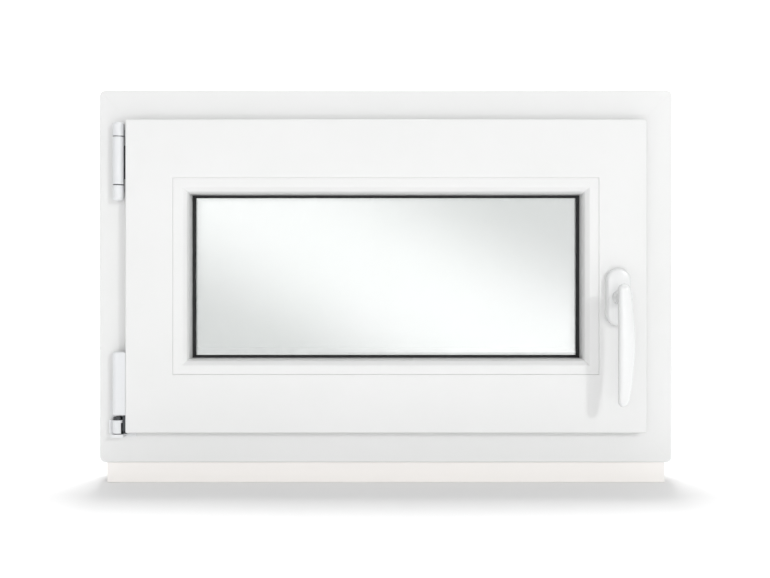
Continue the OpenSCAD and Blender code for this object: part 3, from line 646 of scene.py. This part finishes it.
class WINDOW_OT_gaskets(bpy.types.Operator):
    """Black glazing gaskets and the rebate gasket, each swept round its ring"""

    bl_idname = "window.gaskets"
    bl_label = "Gaskets"

    def execute(self, context):
        size = context.scene.window_profile
        low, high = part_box("room_gasket")
        back, lip = SIGHT[0] - ROOM_GASKET_W, SIGHT[0] + size.gasket_lip
        room = rounded([(back, low.y), (lip - LIP_SLOPE, low.y), (lip, low.y + LIP_SLOPE),
                        (lip, high.y), (back, high.y)],
                       [0.2 * MM, 1 * MM, 0.8 * MM, 0.2 * MM, 0.2 * MM])
        low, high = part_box("outer_gasket")
        back = SIGHT[0] - OUTER_GASKET_W
        outer = rounded([(back, low.y), (SIGHT[0], low.y), (SIGHT[0], high.y), (back, high.y)],
                        [0.2 * MM, 1 * MM, 1 * MM, 0.2 * MM])
        low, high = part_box("rebate_gasket")
        a = low.x + HALF_W
        stop = rounded([(a, high.y), (a, low.y + STOP_SLOPE), (a + STOP_GASKET_W / 2, low.y),
                        (a + STOP_GASKET_W, low.y + STOP_SLOPE), (a + STOP_GASKET_W, high.y)],
                       [0.2 * MM, 1 * MM, 1.2 * MM, 1 * MM, 0.2 * MM])
        for name, outline, body in (("room_gasket", room, "sash"), ("outer_gasket", outer, "sash"),
                                    ("rebate_gasket", stop, "frame")):
            parts = joined([mitred(outline, side, groove=0, reach=0.3 * MM) for side in CORNERS])
            piece = new_piece(name + "_skin", *parts, body, "black_seal", finish("black_seal"))
            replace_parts(piece, name)
        return {"FINISHED"}


class WINDOW_OT_base(bpy.types.Operator):
    """Base profile under the frame: a plain box section with three chambers"""

    bl_idname = "window.base"
    bl_label = "Base Profile"

    def execute(self, context):
        low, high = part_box("base_profile")
        outline = rounded([(low.y, low.z), (high.y, low.z), (high.y, high.z), (low.y, high.z)],
                          [1.2 * MM, 1 * MM, 0.5 * MM, 0.8 * MM])
        count = len(outline)
        ends = [np.column_stack([np.full(count, x), outline]) for x in (low.x, high.x)]
        piece = new_piece("base_profile_skin", np.concatenate(ends), tube_faces(2, count),
                          "frame", "base_pvc", finish("base_pvc"))
        pitch = (high.y - low.y - BASE_WALL) / BASE_CELLS
        for i in range(BASE_CELLS):
            y0, y1 = low.y + BASE_WALL + i * pitch, low.y + (i + 1) * pitch
            for x in (low.x, high.x):
                cut(piece, *box_shape((x - BASE_CELL_DEPTH, y0, low.z + BASE_WALL),
                                      (x + BASE_CELL_DEPTH, y1, high.z - BASE_WALL)))
        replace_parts(piece, "base_profile")
        return {"FINISHED"}


class WINDOW_OT_glazing(bpy.types.Operator):
    """Sealed unit of two float glass panes on their spacer bar"""

    bl_idname = "window.glazing"
    bl_label = "Glazing"

    def execute(self, context):
        for node in ("pane_room", "pane_outside", "spacer_bar", "edge_seal", "setting_blocks"):
            paint(node)
        return {"FINISHED"}


JOINT_GAP = 0.4 * MM      # between a sleeve's end and the end of its barrel
SLEEVE_EDGE = 0.6 * MM
COVER_EDGE = 0.8 * MM
COVER_ROUND = 6.4 * MM    # room-side roundings of the upper cover
NOTCH_X, NOTCH_HALF, NOTCH_DROP = 4.4 * MM, 8 * MM, 7 * MM


def rectangle(x0, x1, y0, y1):
    """Corners of a rectangle in X and Y, anticlockwise."""
    return [(x0, y0), (x1, y0), (x1, y1), (x0, y1)]


def flattened(outline, x_max):
    """The outline cut off straight at x_max."""
    return np.column_stack([np.minimum(outline[:, 0], x_max), outline[:, 1]])


def moulded(name, outline, heights, radii, body, slot, *nodes):
    """A column-shaped cover in place of CAD nodes."""
    points, faces = column(outline, *heights, *radii)
    piece = new_piece(name, points, faces, body, slot, finish(slot))
    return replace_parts(piece, *nodes) if nodes else piece


class WINDOW_OT_hinges(bpy.types.Operator):
    """White sleeves and caps over the two hinges, with the lower pivot's steel left bare"""

    bl_idname = "window.hinges"
    bl_label = "Hinge Covers"

    def execute(self, context):
        size = context.scene.window_hinge
        bearing_low, bearing_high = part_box("stay_bearing")
        low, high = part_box("hinge_pin_cap")
        barrel = circle(HINGE_X, HINGE_Y, high.x - HINGE_X + size.sleeve)
        moulded("hinge_barrel_sleeve", barrel,
                (bearing_low.z + JOINT_GAP, bearing_high.z - JOINT_GAP),
                (SLEEVE_EDGE, SLEEVE_EDGE), "frame", "cover_plastic")
        eye_low = bearing_high.z + 0.3 * MM
        moulded("hinge_eye_sleeve", barrel, (eye_low + JOINT_GAP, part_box("stay_eye_cap")[1].z),
                (size.cap_edge, SLEEVE_EDGE), "stay", "cover_plastic", "stay_eye_cap")
        moulded("hinge_pin_cap_skin", barrel, (low.z, high.z - 0.5 * MM),
                (0.4 * MM, size.cap_edge * 2), "frame", "cover_plastic", "hinge_pin_cap")
        low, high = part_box("corner_hinge_cover")
        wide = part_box("corner_hinge")[1].x - 0.05 * MM
        upper = rounded(rectangle(low.x, wide, low.y, high.y),
                        [COVER_ROUND, 1 * MM, 1 * MM, COVER_ROUND], steps=14)
        moulded("corner_hinge_cover_skin", upper, (low.z, high.z), (size.cap_edge, COVER_EDGE),
                "sash", "cover_plastic", "corner_hinge_cover")
        low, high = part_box("pivot_cap")
        lower = flattened(circle(HINGE_X, HINGE_Y, HINGE_X - low.x), high.x)
        pivot = moulded("pivot_cap_skin", lower, (low.z, high.z), (COVER_EDGE, size.cap_edge),
                        "turn_block", "cover_plastic", "pivot_cap")
        notch_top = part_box("tilt_block")[1].z - NOTCH_DROP
        cut(pivot, *box_shape((HINGE_X + NOTCH_X, HINGE_Y - NOTCH_HALF, low.z - 1 * MM),
                              (high.x + 2 * MM, HINGE_Y + NOTCH_HALF, notch_top)))
        low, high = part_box("bearing_cover")
        lowest = rounded(rectangle(low.x, high.x, low.y, high.y),
                         [1.2 * MM, 1.2 * MM, 0.4 * MM, 0.4 * MM])
        moulded("bearing_cover_skin", lowest, (low.z, high.z), (COVER_EDGE, COVER_EDGE),
                "frame", "cover_plastic", "bearing_cover")
        # The stay bearing is painted dark steel too: on its plate the dark grey is partly painted shade for the
        # gap beside the hinge barrel.
        for node in ("tilt_block", "corner_hinge", "bearing_pin", "stay_bearing"):
            paint(node, "pivot_steel")
        paint("corner_bearing", "coated_steel")
        return {"FINISHED"}


def stadium(half_w, half_l, steps=24):
    """Upright outline in X and Z with round ends about the handle's axis, anticlockwise."""
    t = np.linspace(0, np.pi, steps)
    top = np.column_stack([half_w * np.cos(t), half_l - half_w + half_w * np.sin(t)])
    return np.concatenate([top, -top]) + (HANDLE_X, HANDLE_Z)


def domed(outline, back, front, edge, dome, steps=7):
    """An outline in X and Z raised from back to front, with a rounded edge and a faint dome."""
    t = np.linspace(0, np.pi / 2, steps)
    inset = np.concatenate([[0], edge * (1 - np.cos(t)), [edge * 1.8, edge * 2.4]])
    depth = np.concatenate([[back], front + dome + (edge - dome) * (1 - np.sin(t)),
                            [front + dome * 0.4, front]])
    rings = []
    for d, y in zip(inset, depth):
        flat = shrunk(outline, d)
        rings.append(np.column_stack([flat[:, 0], np.full(len(flat), y), flat[:, 1]]))
    return np.concatenate(rings), tube_faces(len(rings), len(outline))


def rod_along_y(r, y0, y1, x, z, count=48):
    """Points and faces of a rod along Y."""
    points, faces = rod_along_x(r, y0, y1, x, z, count)
    return points[:, [1, 0, 2]], faces


class WINDOW_OT_handle(bpy.types.Operator):
    """Lever handle: a domed rosette, and a grip of rounded sections blended into its neck"""

    bl_idname = "window.handle"
    bl_label = "Handle"

    def execute(self, context):
        size = context.scene.window_handle
        low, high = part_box("handle_rosette")
        rosette_front = low.y
        shape = stadium((high.x - low.x) / 2, (high.z - low.z) / 2)
        raised = domed(shape, high.y, low.y, size.rosette_edge, 0.6 * MM)
        rosette = new_piece("handle_rosette_skin", *raised, "sash", "handle_white",
                            finish("handle_white"), smooth=50)
        cut(rosette, *rod_along_y(NECK_R + 0.05 * MM, low.y - 2 * MM, high.y + 2 * MM,
                                  HANDLE_X, HANDLE_Z))
        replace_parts(rosette, "handle_rosette")
        low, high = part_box("handle_lever")
        lever = new_piece("handle_lever_skin", *grip(low, high, size), "handle", "handle_white",
                          finish("handle_white"))
        blend_in(lever, neck(low.y + 6 * MM, high.y))
        points = np.array([v.co for v in lever.data.vertices], float)
        share = np.clip((rosette_front - points[:, 1]) / (10 * MM), 0, 1)
        points[:, 1] += (low.y - points[:, 1].min()) * share
        lever.data.vertices.foreach_set("co", points.astype(np.float32).ravel())
        lever.data.shade_smooth()
        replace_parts(lever, "handle_lever")
        return {"FINISHED"}


LEVER_WAIST = 50 * MM     # from the handle's axis down to the lever's widest place
LEVER_TIP = 30 * MM       # length of the tip that grows slimmer
LEVER_POWER = 2.6


def grip(low, high, size, rings=120, around=44):
    """The lever's grip: superellipses |x/a|^n + |y/b|^n = 1 stacked along Z, n being LEVER_POWER.

    The left edge is straight, and the right edge swells by size.belly where the hand closes."""
    half = size.lever_width / 2
    widest = HANDLE_Z - LEVER_WAIST
    u = (1 - np.cos(np.linspace(0, np.pi, rings))) / 2
    z = high.z + (low.z - high.z) * u
    span = np.where(z > widest, high.z - widest, widest - low.z)
    swell = size.belly * np.cos(np.clip(np.abs(z - widest) / span, 0, 1) * np.pi / 2) ** 1.6
    slim = 1 - 0.24 * np.clip((low.z + LEVER_TIP - z) / LEVER_TIP, 0, 1) ** 1.5
    width = (half + swell / 2) * slim
    end = np.clip(np.minimum(high.z - z, z - low.z) / half, 0, 1)
    close = np.sqrt(np.maximum(1 - (1 - end) ** 2, 1e-8))
    down = (high.z - z) / (high.z - low.z)
    thick = (6.6 - 1.6 * down) * MM
    front = low.y + (1.6 * (down - 0.45) ** 2 * 4) * MM
    t = np.linspace(0, 2 * np.pi, around, endpoint=False)
    cx, sy = (np.sign(f) * np.abs(f) ** (2 / LEVER_POWER) for f in (np.cos(t), np.sin(t)))
    x = (low.x + width)[:, None] + (width * close)[:, None] * cx
    y = (front + thick)[:, None] + (thick * close ** 0.7)[:, None] * sy
    points = np.stack([x, y, np.broadcast_to(z[:, None], x.shape)], -1).reshape(-1, 3)
    return points, tube_faces(rings, around)


NECK_R = 8 * MM
NECK_STEPS = np.array([0, 7, 9, 12, 16, 21]) * MM
NECK_RADII = np.array([8.6, 8.6, 8.4, 7.6, 7.1, 7.0]) * MM


def neck(y0, y1, count=48):
    """The neck from the grip at y0 to the rosette's back at y1, narrowest between the two."""
    y = np.append(y0 + NECK_STEPS, [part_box("handle_rosette")[0].y - 1.5 * MM, y1])
    radius = np.append(NECK_RADII, [NECK_R, NECK_R])
    rings = []
    for depth, r in zip(y, radius):
        ring = circle(HANDLE_X, HANDLE_Z, r, count)
        rings.append(np.column_stack([ring[:, 0], np.full(count, depth), ring[:, 1]]))
    return np.concatenate(rings), tube_faces(len(rings), count)


WELD_GRAIN, WELD_PASSES = 0.7 * MM, 14


def blend_in(piece, shape):
    """Welds another closed shape to a piece and smooths the joint between them."""
    points, faces = shape
    made = bmesh.new()
    made.from_mesh(piece.data)
    verts = [made.verts.new(p) for p in points]
    for f in faces:
        made.faces.new([verts[i] for i in f])
    bmesh.ops.recalc_face_normals(made, faces=made.faces)
    made.to_mesh(piece.data)
    made.free()
    weld = piece.modifiers.new("weld", "REMESH")
    weld.mode, weld.voxel_size = "VOXEL", WELD_GRAIN
    soften = piece.modifiers.new("soften", "SMOOTH")
    soften.factor, soften.iterations = 0.5, WELD_PASSES
    bpy.context.view_layer.update()
    evaluated = piece.evaluated_get(bpy.context.evaluated_depsgraph_get())
    result = bpy.data.meshes.new_from_object(evaluated)
    piece.modifiers.clear()
    piece.data = result
    if not result.materials:
        result.materials.append(finish("handle_white"))


def paint(node, name=None):
    """Gives a CAD node the material of its slot, or a named one."""
    slots = {p["node"]: p["material_slot"] for p in frame["record"]["subparts"]}
    NODES[node].data.materials.clear()
    NODES[node].data.materials.append(finish(name or slots[node]))


class WINDOW_OT_hardware(bpy.types.Operator):
    """Steel reinforcement, locking gear, keeps, screws and seals that keep their drawn shape"""

    bl_idname = "window.hardware"
    bl_label = "Hardware"

    def execute(self, context):
        for node, piece in NODES.items():
            if not any(m in made_finishes.values() for m in piece.data.materials):
                paint(node)
        return {"FINISHED"}


# ---- Studio ----

CARD_SLOPE = 0.53   # fall of the bright line, in Z for each unit of X
CARD_LINE = 0.29    # its height where X is 0
CARD_HALF = 0.6     # how far the glow reaches to each side of it
CARD_GLOW = 2.6
KEY_WAY = Vector((0.65, -1.0, 0.35)).normalized()
STUDIO_HALF_W, STUDIO_BACK, STUDIO_H = 10, 3, 8
CARD_HALF_W, CARD_Y, CARD_LOW, CARD_HIGH = 1.2, -2.6, 0.005, 1.1


def stage_plane(name, corners, material):
    """A flat stage surface through four corners."""
    mesh = bpy.data.meshes.new(name)
    mesh.from_pydata(corners, [], [[0, 1, 2, 3]])
    mesh.materials.append(material)
    plane = bpy.data.objects.new(name, mesh)
    bpy.context.scene.collection.objects.link(plane)
    return plane


def upright(half_w, y, z0, z1):
    """Corners of an upright rectangle across the view at depth y."""
    return [(-half_w, y, z0), (half_w, y, z0), (half_w, y, z1), (-half_w, y, z1)]


def area_light(name, place, aim, size, power):
    """A soft square light looking at a point."""
    light = bpy.data.lights.new(name, "AREA")
    light.shape, light.size, light.energy = "SQUARE", size, power
    lamp = bpy.data.objects.new(name, light)
    bpy.context.scene.collection.objects.link(lamp)
    lamp.location = place
    lamp.rotation_mode = "QUATERNION"
    lamp.rotation_quaternion = (Vector(aim) - Vector(place)).to_track_quat("-Z", "Y")
    return lamp


def studio_paper(name, colour, glow):
    """Matt studio paper: white with a faint mottling; glow is the light it sends back itself."""
    material, tree, shader, place = start_material(name)
    broad = noise(tree, place, 700, 2.0)
    tint = mixed(tree, broad, colour, "#F4F4F4")
    tree.links.new(tint, shader.inputs["Base Color"])
    shader.inputs["Roughness"].default_value = 0.9
    shader.inputs["Specular IOR Level"].default_value = 0.0
    tree.links.new(tint, shader.inputs["Emission Color"])
    shader.inputs["Emission Strength"].default_value = glow
    return material


def light_card():
    """Translucent light card: brightest along one slanting line and fading to both sides of it."""
    material, tree, shader, place = start_material("light_card")
    parts = add_node(tree, "ShaderNodeSeparateXYZ", {}, {"Vector": place})
    lean = add_node(tree, "ShaderNodeMath", {"operation": "MULTIPLY_ADD"},
                    {0: parts.outputs["X"], 1: CARD_SLOPE, 2: parts.outputs["Z"]})
    off = add_node(tree, "ShaderNodeMath", {"operation": "SUBTRACT"},
                   {0: lean.outputs["Value"], 1: CARD_LINE})
    away = add_node(tree, "ShaderNodeMath", {"operation": "ABSOLUTE"}, {0: off.outputs["Value"]})
    fade = add_node(tree, "ShaderNodeMapRange", {"interpolation_type": "SMOOTHERSTEP"},
                    {"Value": away.outputs["Value"], "From Min": 0.0, "From Max": CARD_HALF,
                     "To Min": CARD_GLOW, "To Max": 0.0}).outputs["Result"]
    shader.inputs["Base Color"].default_value = linear("#BFBFBF")
    shader.inputs["Specular IOR Level"].default_value = 0.0
    shader.inputs["Emission Color"].default_value = linear("#FFFFFF")
    tree.links.new(fade, shader.inputs["Emission Strength"])
    return material


class WINDOW_OT_stage(bpy.types.Operator):
    """White floor and backdrop, three lights, a light card behind the camera, and the camera"""

    bl_idname = "window.stage"
    bl_label = "Stage"

    def execute(self, context):
        scene = context.scene
        size = scene.window_stage
        w, back, top = STUDIO_HALF_W, STUDIO_BACK, STUDIO_H
        stage_plane("floor", [(-w, -w, 0), (w, -w, 0), (w, back, 0), (-w, back, 0)],
                    studio_paper("studio_floor", "#F8F8F8", size.floor_glow))
        stage_plane("backdrop", upright(w, back, 0, top),
                    studio_paper("studio_backdrop", "#F8F8F8", size.backdrop_glow))
        stage_plane("card", upright(CARD_HALF_W, CARD_Y, CARD_LOW, CARD_HIGH), light_card())
        middle = Vector((0, ROOM_Y, MID_Z))
        area_light("key", middle + KEY_WAY * 5, middle, 0.38, size.key_power)
        fill = area_light("low_fill", (0, -0.8, 0.035), (0, 0, 0.12), 1.0, size.fill_power)
        fill.data.shape, fill.data.size_y = "RECTANGLE", 0.05
        fill.visible_camera = fill.visible_transmission = fill.visible_glossy = False
        area_light("overhead", (0, 1.7, 6.3), (0, -0.1, 0), 1.7, size.top_power)
        world = bpy.data.worlds.new("studio_air")
        world.use_nodes = True
        air = world.node_tree.nodes["Background"]
        air.inputs["Color"].default_value = linear("#FFFFFF")
        air.inputs["Strength"].default_value = size.air
        scene.world = world
        lens = bpy.data.cameras.new("camera")
        lens.lens, lens.sensor_width, lens.dof.use_dof = 50, 36, False
        camera = bpy.data.objects.new("camera", lens)
        scene.collection.objects.link(camera)
        camera.location = (-0.0011, ROOM_Y - size.camera_distance, size.camera_height)
        camera.rotation_euler = (math.pi / 2, 0, 0)
        scene.camera = camera
        scene.view_settings.view_transform = "Standard"
        return {"FINISHED"}


# ---- Add-on ----

OPERATORS = (WINDOW_OT_frame, WINDOW_OT_sash, WINDOW_OT_beads, WINDOW_OT_gaskets,
             WINDOW_OT_base, WINDOW_OT_glazing, WINDOW_OT_hinges, WINDOW_OT_handle,
             WINDOW_OT_hardware, WINDOW_OT_stage)
GROUPS = {"window_profile": WindowProfileSizes, "window_handle": WindowHandleSizes,
          "window_hinge": WindowHingeSizes, "window_stage": WindowStageSizes}


class WINDOW_PT_panel(bpy.types.Panel):
    """Sizes and buttons of the window"""

    bl_idname = "WINDOW_PT_panel"
    bl_label = "Casement Window"
    bl_space_type = "VIEW_3D"
    bl_region_type = "UI"
    bl_category = "Window"

    def draw(self, context):
        for name, group in GROUPS.items():
            box = self.layout.box()
            for key in group.__annotations__:
                box.prop(getattr(context.scene, name), key)
        for operator in OPERATORS:
            self.layout.operator(operator.bl_idname)


def register():
    """Makes the sizes, the buttons and the panel known."""
    for kind in (*GROUPS.values(), *OPERATORS, WINDOW_PT_panel):
        bpy.utils.register_class(kind)
    for name, group in GROUPS.items():
        setattr(bpy.types.Scene, name, bpy.props.PointerProperty(type=group))


def unregister():
    """Takes them away again."""
    for name in GROUPS:
        delattr(bpy.types.Scene, name)
    for kind in (WINDOW_PT_panel, *reversed(OPERATORS), *reversed(list(GROUPS.values()))):
        bpy.utils.unregister_class(kind)


def main():
    """Builds the window piece by piece, then the stage."""
    register()
    for operator in OPERATORS:
        group, name = operator.bl_idname.split(".")
        getattr(getattr(bpy.ops, group), name)()


if __name__ == "__main__":
    main()
